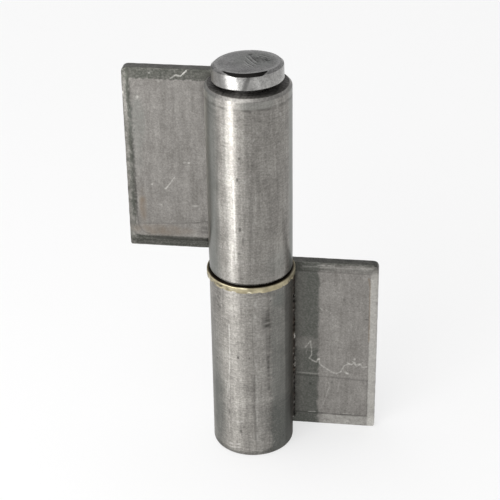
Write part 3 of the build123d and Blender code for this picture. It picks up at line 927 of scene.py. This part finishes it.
def wear_lower_leaf(points, marks):
    x, y, z = points.T
    place = x, z
    front = 1 - ease(y, LEAF_FRONT + 0.5, LEAF_FRONT + 0.7)
    field_top = LOWER_TOP - FIELD_END_INSET
    rough = 0.08 * waves(points, 1.1, 81) + 0.06 * waves(points, 0.6, 88)
    blots = waves(points, 1.5, 89)
    rolled = waves(points, 0.6, 83, stretch=(14, 1, 1))
    broken = ease(waves(points, 0.8, 84), -1.1, 0.5)

    # Painted shade from the barrel: a dark band beside it with a rather sharp limit, also cooled a little
    # in the stain mask.
    limit = 15.95 + 0.25 * waves(points, 3, 82) + 0.8 * rough
    heat_tint_and_painted_shade = 1 - ease(x, limit - 0.35, limit + 0.35)
    heat_tint_and_painted_shade *= (0.72 + 0.20 * ease(x, 11.0, 14.0)) * (1 - 0.55 * spot(*place, 13.0, 24.6, 8, 3.5))
    top_border = ease(z + rough, field_top + 0.25, field_top + 0.55)
    top_border *= np.clip(0.42 + 0.22 * rolled + 0.1 * blots, 0, 1)
    top_edge = 0.95 * ease(z + 0.5 * rough, LOWER_TOP - 0.5, LOWER_TOP - 0.25)
    foot_dark = (1 - ease(z, 3.0, 3.3)) * (1 - ease(x + 2 * rough, 14.0, 17.0)) * 0.75
    scale_and_shade = np.clip(heat_tint_and_painted_shade + np.maximum(top_border, top_edge) + foot_dark, 0, 1)
    marks["scale_and_shade"] = front * scale_and_shade + (1 - front) * (0.85 + 0.12 * blots)

    scribble = strokes(place, SCRIBBLE) + spots(place, SCRIBBLE_STOPS)
    ticks = strokes(place, TICKS) + spots(place, TICK_STOPS)
    # Painted highlight: the right border, which slopes to the right, is brightened.
    right = ease(x + 0.6 * rough, LEAF_REACH - 1.95, LEAF_REACH - 1.7) * (1 - ease(z, 43.8, 45.6))
    right *= 0.82 + 0.10 * blots
    foot = (1 - ease(z, 3.0, 3.3)) * ease(x + 3 * rough, 14.5, 19.0) * (0.42 + 0.14 * blots)
    light = strokes(place, BORDER_LIGHTS) + strokes(place, BROKEN_LIGHTS) * broken
    light += 0.35 * spot(*place, 29.5, 45.4, 1.8, 1.2)
    marks["bright"] = front * np.clip(
        0.8 * scribble * (0.35 + 0.65 * broken) + 0.5 * ticks * broken
        + 0.28 * strokes(place, FAINT_SCRATCHES) + 0.3 * strokes(place, CROSS_LINE_LIGHT)
        + 0.8 * right + foot + light, 0, 1)

    lower_line = stroke(*place, CROSS_LINE_DARK, 0.3)
    dark_lines = strokes(place, FOOT_DARKS)
    dark_lines += 0.75 * stroke(*place, TOP_DARK, 0.28) * (0.6 + 0.4 * broken)
    dots = spots(place, LEAF_DOTS)
    foot_edge = (1 - ease(z, 0.05, 0.5)) * (0.25 + 0.5 * (1 - ease(x, 14, 18)))
    # Painted shade: the face right next to the weld bead is darkened in the grime mask.
    painted_seam_shade = ease(waves(points, 1.4, 90, stretch=(1, 1, 1.5)), -0.2, 1.2)
    painted_seam_shade *= 1 - ease(x + 0.5 * rough, 10.0, 10.9)
    hatch = spot(*place, 29.4, 44.0, 1.2, 1.4) * ease(waves(points, 0.5, 91), 0.2, 1.0)
    marks["grime_and_shade"] = front * np.clip(
        0.7 * dark_lines + 0.42 * lower_line + 0.6 * strokes(place, OUTER_DARKS) + dots
        + 0.4 * strokes(place, INNER_DARKS) + foot_edge + 0.55 * painted_seam_shade + 0.5 * hatch, 0, 1)

    olive = np.clip(0.75 * stroke(*place, OLIVE_LINE, 0.4), 0, 1)
    marks["stain"] = front * (olive - 0.15 * heat_tint_and_painted_shade)
    return 0.02 * scribble + 0.02 * ticks + 0.03 * lower_line + 0.03 * dark_lines + 0.04 * dots


lower_leaf = skin_leaf("lower_leaf_skin", 1, 0, LOWER_TOP, 87, wear_lower_leaf, LOWER_FOOT_SHARE)

# %% [markdown]
# ## Welds
#
# A weld bead is laid in small pulses: each one leaves a crescent that lies over the last, so
# the bead looks like a row of scales. A tube is carried up the joint, and its radius goes
# slowly out and quickly in once per pulse. The pulse is delayed towards the sides of the
# bead, which bows the crescents. The hidden half of the tube sits inside the metal.

# %% Skin the welds
PULSE = 1.6
WELD_MARGIN = 1.2


def skin_weld(name, side, centre, outward, radius, low, high, seed, droplets=()):
    """A tube about an upright line. outward is the angle of the bead's crown in the plan, in
    degrees from +X. Its ends are round: radius times sqrt(1 - (1 - t)^2) over the first
    radius of length. A droplet is (height, angle, width, rise)."""
    rows = np.arange(0, math.ceil((high - low) / 0.11) + 1)
    z = (low + (high - low) * rows / rows[-1])[:, None]
    angle = np.radians(outward + np.arange(56) / 56 * 360)[None, :]
    off_crown = (angle - math.radians(outward) + math.pi) % (2 * math.pi) - math.pi
    spine = np.stack(np.broadcast_arrays(np.cos(angle) * radius, np.sin(angle) * radius, z), -1)
    pulse = z / PULSE + 0.3 * (1 - np.cos(off_crown)) + 0.12 * waves(spine, 5, seed)
    step = pulse % 1
    scales = ease(step, 0, 0.7) - ease(step, 0.72, 1.0)
    melt = waves(spine, 2.2, seed + 5)
    size = radius * (0.985 + 0.03 * waves(spine, 3.5, seed + 1)) + 0.1 * (scales - 1)
    size = size + 0.02 * waves(spine, 0.6, seed + 2) + 0.03 * melt
    bright = 0.4 * ease(scales, 0.5, 1.0) * ease(melt + waves(spine, 0.7, seed + 6), 0.6, 1.8)
    # Each droplet is raised, and its bright mark is a painted glint.
    for height, at, width, rise in droplets:
        bump = spot(off_crown * radius, z, math.radians(at) * radius, height, width, width * 1.3)
        size, bright = size + rise * bump, bright + bump
    t = np.clip(np.minimum(z - low, high - z) / radius, 0.0, 1)
    size = size * np.sqrt(np.clip(1 - (1 - t) ** 2, 0.02, 1))
    x = centre[0] + size * np.cos(angle)
    y = centre[1] + size * np.sin(angle)
    rings = np.stack([x * side, y, np.broadcast_to(z, x.shape)], axis=-1)
    grime_and_shade = 0.55 - 0.35 * scales - 0.25 * melt + 0.3 * waves(rings, 0.9, seed + 3)
    marks = blank_marks(x.shape)
    marks["bright"] += np.clip(bright, 0, 1)
    marks["grime_and_shade"] += np.clip(grime_and_shade, 0, 1)
    marks["stain"] += np.clip(0.4 + 0.4 * waves(rings, 4, seed + 4), 0, 1)
    marks["scale_and_shade"] += 0.8
    return skin(name, rings, marks=marks)


FRONT_WELD = (LEAF_ROOT, LEAF_FRONT)
FRONT_WELD_RADIUS = 1.6
BACK_WELD_RADIUS = 1.55
# Behind, the bead's crown spans the groove from the barrel's side to the leaf's square edge.
groove_inner = math.sqrt(BARREL**2 - LEAF_BACK**2)
half_groove = (LEAF_ROOT - groove_inner) / 2
crown_depth = LEAF_BACK - math.sqrt(BACK_WELD_RADIUS**2 - half_groove**2)
BACK_WELD = (groove_inner + half_groove, crown_depth)
# Spatter that stayed on the front bead, as (height, angle off the crown, width, rise).
SPATTER = [(27.4, 30, 0.6, 0.12), (26.7, 34, 0.7, 0.14), (20.4, 36, 0.5, 0.1), (19.6, 42, 0.45, 0.1),
           (18.6, 44, 0.6, 0.16), (17.9, 40, 0.5, 0.12), (33.4, 45, 0.4, 0.06), (31.4, 50, 0.35, 0.08),
           (38.6, 40, 0.3, 0.05), (36.2, 46, 0.35, 0.06)]
welds = {}
for half, side, low, high in (
    ("lower", 1, WELD_MARGIN, LOWER_TOP - WELD_MARGIN),
    ("upper", -1, upper_leaf_low[2] + WELD_MARGIN, upper_leaf_high[2] - WELD_MARGIN),
):
    welds[half] = (
        skin_weld(
            f"{half}_front_weld_skin", side, FRONT_WELD, -48, FRONT_WELD_RADIUS, low, high, 91, SPATTER
        ),
        skin_weld(f"{half}_back_weld_skin", side, BACK_WELD, 75, BACK_WELD_RADIUS, low, high, 95),
    )

# %% [markdown]
# ## Metals
#
# All the steel here is bare and satin: it was drawn, rolled or turned, rubbed, handled and a
# little oiled, never polished. One graph makes it, and each part gives it its own values.
# Ready-made textures would be quicker, but they would not follow the marks on the mesh, and
# they would repeat.

# %% Helpers for materials


def linear(hex_colour):
    """An sRGB hex colour as linear RGBA: below 0.04045 divide by 12.92, else a power of 2.4."""
    srgb = [int(hex_colour[k : k + 2], 16) / 255 for k in (1, 3, 5)]
    return (*(c / 12.92 if c <= 0.04045 else ((c + 0.055) / 1.055) ** 2.4 for c in srgb), 1.0)


def add(tree, kind, inputs=None, **settings):
    """A node with its own settings, and its inputs as values or as sockets to link."""
    made = tree.nodes.new("ShaderNode" + kind)
    for setting, value in settings.items():
        setattr(made, setting, value)
    for key, value in (inputs or {}).items():
        if isinstance(value, bpy.types.NodeSocket):
            tree.links.new(value, made.inputs[key])
        else:
            made.inputs[key].default_value = value
    return made


def new_material(name):
    """A material with an empty graph, its output and its principled shader."""
    material = bpy.data.materials.new(name)
    material.use_nodes = True
    tree = material.node_tree
    tree.nodes.clear()
    shader = add(tree, "BsdfPrincipled")
    add(tree, "OutputMaterial", {"Surface": shader.outputs["BSDF"]})
    return material, tree, shader


print("mid grey #808080 in linear:", round(linear("#808080")[0], 3))

# %% [markdown]
# Fine grain, broad clouds and long drawn streaks shift the tone between a dark and a light metal. Over
# that lie the marks of the mesh: mill scale, a brown stain (or a cool tint where the stain is below zero),
# grime and bright scratches. The scale and grime masks also carry painted shade, and the bright mask
# carries painted highlights. The grain breaks up each mark, so that none of them looks painted, and it
# goes into roughness and bump as well.

# %% The graph of bare steel


def tint(tree, colour, other, amount, blend="MIX"):
    """The colour mixed towards another one by an amount. Both may be sockets."""
    mixed = add(tree, "Mix", {0: amount, 6: colour, 7: other}, data_type="RGBA", blend_type=blend)
    return mixed.outputs[2]


def bare_steel(name, colours, layers, roughness, bump_mm, grooves=0.0):
    """Bare satin steel.
    colours: dark, middle and light metal, mill scale (also painted shade), stain, cool tint, grime (also
    painted shade), bright scratch (also painted highlight).
    layers: size in mm, stretch and share of the tone of each noise; grain first, then clouds.
    roughness: middle and half range.
    grooves: how much more light spreads up and down, across the fine grooves round a bar."""
    material, tree, shader = new_material(name)
    place = add(tree, "TexCoord").outputs["Object"]
    noises, tone = [], 0.5 - sum(share for _, _, share in layers) / 2
    for size_mm, stretch, share in layers:
        spread = [1 / (s * size_mm * MM) for s in stretch]
        cells = add(tree, "Mapping", {"Vector": place, "Scale": spread}).outputs[0]
        detail = {"Vector": cells, "Scale": 1.0, "Detail": 3.0, "Roughness": 0.6}
        noise = add(tree, "TexNoise", detail).outputs[0]
        tone = add(tree, "Math", {0: noise, 1: share, 2: tone}, operation="MULTIPLY_ADD").outputs[0]
        noises.append(noise)
    ramp = add(tree, "ValToRGB", {"Fac": tone})
    ramp.color_ramp.elements[0].position = 0.2
    ramp.color_ramp.elements[0].color = linear(colours[0])
    ramp.color_ramp.elements[1].position = 0.8
    ramp.color_ramp.elements[1].color = linear(colours[2])
    ramp.color_ramp.elements.new(0.5).color = linear(colours[1])
    colour = ramp.outputs[0]

    grain, cloud = noises[:2]
    marks = {
        mark: add(tree, "Attribute", attribute_name=mark).outputs["Fac"]
        for mark in ("scale_and_shade", "stain", "grime_and_shade", "bright")
    }
    patchy = add(tree, "MapRange", {"Value": cloud, 1: 0.3, 2: 0.7, 3: 0.7, 4: 1.0}).outputs[0]
    flaky = add(tree, "MapRange", {"Value": grain, 1: 0.36, 2: 0.64, 3: 1.05, 4: 0.72}).outputs[0]
    speckled = add(tree, "MapRange", {"Value": grain, 1: 0.35, 2: 0.65, 3: 0.6, 4: 1.0}).outputs[0]
    cover = [
        ("scale_and_shade", flaky), ("stain", patchy), ("stain", -1.0), ("grime_and_shade", speckled), ("bright", speckled)
    ]
    for (mark, share), other in zip(cover, colours[3:]):
        mask = add(tree, "Math", {0: marks[mark], 1: share}, operation="MULTIPLY", use_clamp=True)
        colour = tint(tree, colour, linear(other), mask.outputs[0])
    tree.links.new(colour, shader.inputs["Base Color"])
    shader.inputs["Metallic"].default_value = 1.0

    middle, half_range = roughness
    low, high = middle - half_range, middle + half_range
    rough = add(tree, "MapRange", {"Value": grain, 1: 0.3, 2: 0.7, 3: low, 4: high})
    for mark, share in (("grime_and_shade", 0.14), ("scale_and_shade", 0.10)):
        inputs = {0: marks[mark], 1: share, 2: rough.outputs[0]}
        rough = add(tree, "Math", inputs, operation="MULTIPLY_ADD")
    tree.links.new(rough.outputs[0], shader.inputs["Roughness"])

    if grooves:
        shader.inputs["Anisotropic"].default_value = grooves
        shader.inputs["Anisotropic Rotation"].default_value = 0.25
        round_bar = add(tree, "Tangent", direction_type="RADIAL", axis="Z")
        tree.links.new(round_bar.outputs[0], shader.inputs["Tangent"])
    height = add(tree, "Math", {0: noises[2], 1: 0.5, 2: grain}, operation="MULTIPLY_ADD").outputs[0]
    bump = add(tree, "Bump", {"Height": height, "Distance": bump_mm * MM, "Strength": 1.0})
    tree.links.new(bump.outputs[0], shader.inputs["Normal"])
    return material


# %% [markdown]
# The values differ by how each surface was made. Cold-drawn bar has long streaks up its side
# and fine grooves round it, which spread the light up and down into one streak. Rolled plate
# is flatter in tone, with streaks along the rolling direction. The struck head is smoother on
# its side. Weld metal is darker, with an oxide that goes brown and blue, and bright crests.
# The true grain of satin steel is about 0.05 mm. It is drawn at 0.3 to 0.45 mm, because finer
# grain would not show at all.

# %% Steel finishes
EVEN = (1, 1, 1)
BAR = ["#6c6965", "#8f8c87", "#b0ada7", "#4f504c", "#7a6f62", "#7c807c", "#302f2c", "#cfcdc8"]
# Cold-drawn mild steel bar, satin: the eye sees a soft streak of light and faint upright lines.
drawn_bar = bare_steel(
    "cold_drawn_steel_bar", BAR,
    [(0.45, EVEN, 0.85), (5.0, EVEN, 0.55), (0.8, (1, 1, 20), 0.5), (0.3, (8, 8, 1), 0.4)],
    roughness=(0.37, 0.05), bump_mm=0.004, grooves=0.88,
)
# The same bar after more handling: the eye sees a duller, more mottled grey with a wide glow.
dull_bar = bare_steel(
    "dulled_drawn_steel_bar", BAR,
    [(0.45, EVEN, 0.85), (4.0, EVEN, 0.5), (0.8, (1, 1, 20), 0.5), (0.35, (7, 7, 1), 0.55)],
    roughness=(0.50, 0.06), bump_mm=0.006, grooves=0.6,
)
# Hot-rolled plate with its scale mostly rubbed off the field: dull, even, with dark borders.
rolled_plate = bare_steel(
    "hot_rolled_steel_plate",
    ["#6c6964", "#878480", "#a29f9a", "#494a45", "#7d6f5f", "#80847f", "#2e2d2b", "#cbc9c3"],
    [(0.45, EVEN, 0.62), (6.0, EVEN, 0.4), (0.8, (1, 1, 10), 0.4), (0.28, EVEN, 0.5)],
    roughness=(0.32, 0.05), bump_mm=0.008,
)
# The same bar as the barrels, upset and struck: smoother side, bruised top.
struck_pin = bare_steel(
    "struck_steel_pin",
    ["#7a7977", "#999896", "#b3b2af", "#5c5b58", "#7a6f62", "#878a84", "#1f1e1d", "#dddcd9"],
    [(0.45, EVEN, 1.0), (3.5, EVEN, 0.8), (0.7, (1, 1, 7), 0.4), (0.28, EVEN, 0.7)],
    roughness=(0.30, 0.05), bump_mm=0.007,
)
# Weld metal as it cooled: brown-grey oxide in the valleys, bare bright crests.
weld_metal = bare_steel(
    "oxidised_weld_metal",
    ["#3e3c39", "#5c5a56", "#7a7772", "#4a4743", "#5c5046", "#56606b", "#1d1c1a", "#e2e0da"],
    [(0.35, EVEN, 1.0), (1.6, EVEN, 1.0), (0.8, EVEN, 0.2)],
    roughness=(0.40, 0.08), bump_mm=0.015,
)

# %% [markdown]
# The washer is a pale, dull brass. Its hue comes from the copper in it, and with age the
# surface goes greyer and browner in patches, while nicks show the yellow metal again.

# %% Brass
washer_brass, tree, shader = new_material("dull_punched_brass")
place = add(tree, "TexCoord").outputs["Object"]
patches = add(tree, "TexNoise", {"Vector": place, "Scale": 1 / (1.8 * MM), "Detail": 4.0}).outputs[0]
grain = add(tree, "TexNoise", {"Vector": place, "Scale": 1 / (0.4 * MM), "Detail": 3.0}).outputs[0]
ramp = add(tree, "ValToRGB", {"Fac": patches})
ramp.color_ramp.elements[0].position = 0.3
ramp.color_ramp.elements[0].color = linear("#988f77")
ramp.color_ramp.elements[1].position = 0.7
ramp.color_ramp.elements[1].color = linear("#c0b698")
old = add(tree, "Attribute", attribute_name="grime_and_shade").outputs["Fac"]
nick = add(tree, "Attribute", attribute_name="bright").outputs["Fac"]
# Painted shade on the washer's top, in the gap under the upper barrel.
gap_shade = add(tree, "Attribute", attribute_name="gap_shade").outputs["Fac"]
tone = tint(tree, ramp.outputs[0], linear("#5f594a"), old)
tone = tint(tree, tone, linear("#e6dfc6"), nick)
tone = tint(tree, tone, linear("#292117"), gap_shade)
tree.links.new(tone, shader.inputs["Base Color"])
shader.inputs["Metallic"].default_value = 1.0
rough = add(tree, "MapRange", {"Value": grain, 1: 0.3, 2: 0.7, 3: 0.36, 4: 0.5})
tree.links.new(rough.outputs[0], shader.inputs["Roughness"])
bump = add(tree, "Bump", {"Height": grain, "Distance": 0.012 * MM, "Strength": 1.0})
tree.links.new(bump.outputs[0], shader.inputs["Normal"])
print("metals:", sorted(m.name for m in bpy.data.materials))

# %% [markdown]
# ## Put the pieces on the hinge
#
# Each skin rides on the body of its own solid, gets its metal, and stands in for it: the solid is hidden
# and its slots get the same metal. The washer stays on the lower half, and the pin is a body of its own.

# %% Dress the bodies
DRESS = [
    (lower_barrel, "lower_half", "lower_barrel", "turned_steel", dull_bar),
    (upper_barrel, "upper_half", "upper_barrel", "turned_steel", drawn_bar),
    (washer, "lower_half", "brass_washer", "washer_brass", washer_brass),
    (pin, "pin", "hinge_pin", "pin_steel", struck_pin),
    (lower_leaf, "lower_half", "lower_leaf", "plate_steel", rolled_plate),
    (upper_leaf, "upper_half", "upper_leaf", "plate_steel", rolled_plate),
]
for half, (front_weld, back_weld) in welds.items():
    DRESS.append((front_weld, f"{half}_half", f"{half}_front_weld", "weld_metal", weld_metal))
    DRESS.append((back_weld, f"{half}_half", f"{half}_back_weld", "weld_metal", weld_metal))
for piece, body, node, slot, material in DRESS:
    piece.data.materials.append(material)
    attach(piece, body)
    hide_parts(node)
    solid_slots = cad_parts[node].data.materials
    if not len(solid_slots):
        solid_slots.append(material)
    for k in range(len(solid_slots)):
        solid_slots[k] = material
print("dressed", len(DRESS), "pieces")

# %% [markdown]
# ## Floor, light and camera
#
# Metal shows what stands round it, so the light is planned from the reflections. Upright
# walls seen from above mirror the floor in front of them, which is pale, and so they show
# their own grey. Flat tops mirror the room behind, which is darker.
#
# The floor is matt paper. The eye and the mirrors see part of it as a plain white of its own,
# which keeps it pale without more light on the metal. The rest is lit paper, and that part
# keeps the hinge's soft shadow.

# %% Floor and room
FLOOR_HALF = 6
FLOOR_DROP = 0.00004
OWN_WHITE = 0.65
floor_mesh = bpy.data.meshes.new("floor")
floor_corners = [
    (x * FLOOR_HALF, y * FLOOR_HALF, -FLOOR_DROP) for x, y in ((-1, -1), (1, -1), (1, 1), (-1, 1))
]
floor_mesh.from_pydata(floor_corners, [], [(0, 1, 2, 3)])
floor = bpy.data.objects.new("floor", floor_mesh)
bpy.context.scene.collection.objects.link(floor)
paper, tree, shader = new_material("matt_white_paper")
fibre = add(tree, "TexNoise", {"Vector": add(tree, "TexCoord").outputs["Object"], "Scale": 4.0}).outputs[0]
shade = tint(tree, linear("#efefee"), linear("#f3f3f2"), fibre)
tree.links.new(shade, shader.inputs["Base Color"])
shader.inputs["Roughness"].default_value = 1.0
shader.inputs["Specular IOR Level"].default_value = 0.0
path = add(tree, "LightPath")
seen = path.outputs["Is Camera Ray"]
for kind in ("Is Glossy Ray", "Is Transmission Ray"):
    seen = add(tree, "Math", {0: seen, 1: path.outputs[kind]}, operation="MAXIMUM").outputs[0]
share = add(tree, "Math", {0: seen, 1: OWN_WHITE}, operation="MULTIPLY").outputs[0]
white = add(tree, "Emission", {"Color": (1, 1, 1, 1), "Strength": 1.0}).outputs[0]
lit = add(tree, "MixShader", {0: share, 1: shader.outputs[0], 2: white})
tree.links.new(lit.outputs[0], tree.nodes["Material Output"].inputs["Surface"])
floor_mesh.materials.append(paper)

world = bpy.data.worlds.new("grey_room")
bpy.context.scene.world = world
world.use_nodes = True
room = world.node_tree
direction = add(room, "TexCoord").outputs["Generated"]
upward = add(room, "SeparateXYZ", {0: direction}).outputs["Z"]
walls = add(
    room, "MapRange", {"Value": upward, 1: 0.5, 2: 1.0, 3: 0.0, 4: 1.0}, interpolation_type="SMOOTHSTEP"
)
shade = tint(room, linear("#b8b8ba"), linear("#8a8a8c"), walls.outputs[0])
room.links.new(shade, room.nodes["Background"].inputs["Color"])
print("floor and room are up, the floor", 2 * FLOOR_HALF, "m wide")

# %% [markdown]
# A large soft lamp hangs overhead and a smaller one stands at the left front, so that tops
# and fronts get even light. Two low cards stand at the left, where the barrels mirror them.
# The narrow one draws the bright streak up their side, and the wide one the glow beside it.

# %% Lamps


def soft_lamp(name, location, target, width, height, watts):
    """A rectangular soft lamp at a place in metres that faces the target."""
    lamp = bpy.data.lights.new(name, "AREA")
    lamp.shape = "RECTANGLE"
    lamp.size, lamp.size_y, lamp.energy = width, height, watts
    holder = bpy.data.objects.new(name, lamp)
    holder.location = location
    aim = Vector(target) - Vector(location)
    holder.rotation_euler = aim.to_track_quat("-Z", "Y").to_euler()
    holder.visible_camera = False
    bpy.context.scene.collection.objects.link(holder)
    return holder


soft_lamp("overhead_softbox", (-0.3, 0.1, 1.6), (0, 0, 0), 1.9, 1.7, 16.5)
soft_lamp("front_softbox", (-0.45, -1.05, 0.55), (0, 0, 0.05), 0.8, 0.7, 6.5)
CARD_DISTANCE = 0.30
CARD_HEIGHT = 0.12
for name, azimuth, width, watts in (("narrow_card", -40, 0.115, 0.40), ("wide_card", -66, 0.15, 0.14)):
    turn = math.radians(azimuth)
    place = (CARD_DISTANCE * math.sin(turn), -CARD_DISTANCE * math.cos(turn), CARD_HEIGHT / 2)
    soft_lamp(name, place, (0, 0, CARD_HEIGHT / 2), width, CARD_HEIGHT, watts)
print("lamps:", len(bpy.data.lights))

# %% [markdown]
# The camera looks down at the hinge from the right front through a long lens, which keeps
# the upright edges nearly parallel. It is rolled by just under a degree, as if held by hand.

# %% Camera
camera_data = bpy.data.cameras.new("camera")
camera_data.lens, camera_data.sensor_width = 111.6, 36
camera_data.clip_start = 0.01
camera = bpy.data.objects.new("camera", camera_data)
bpy.context.scene.collection.objects.link(camera)
bpy.context.scene.camera = camera
CAMERA_PLACE = Vector((0.043371, -0.316340, 0.238310))
CAMERA_AIM = Vector((-0.000185, -0.000025, 0.053628))
CAMERA_ROLL = math.radians(-0.943)
back = (CAMERA_PLACE - CAMERA_AIM).normalized()
right = Vector((0, 0, 1)).cross(back).normalized()
up = back.cross(right)
rolled_right = right * math.cos(CAMERA_ROLL) + up * math.sin(CAMERA_ROLL)
rolled_up = up * math.cos(CAMERA_ROLL) - right * math.sin(CAMERA_ROLL)
camera.matrix_world = Matrix.Translation(CAMERA_PLACE) @ Matrix(
    (rolled_right, rolled_up, back)
).transposed().to_4x4()

bpy.context.scene.view_settings.view_transform = "Standard"
print("camera distance:", round((CAMERA_PLACE - CAMERA_AIM).length, 3), "m")
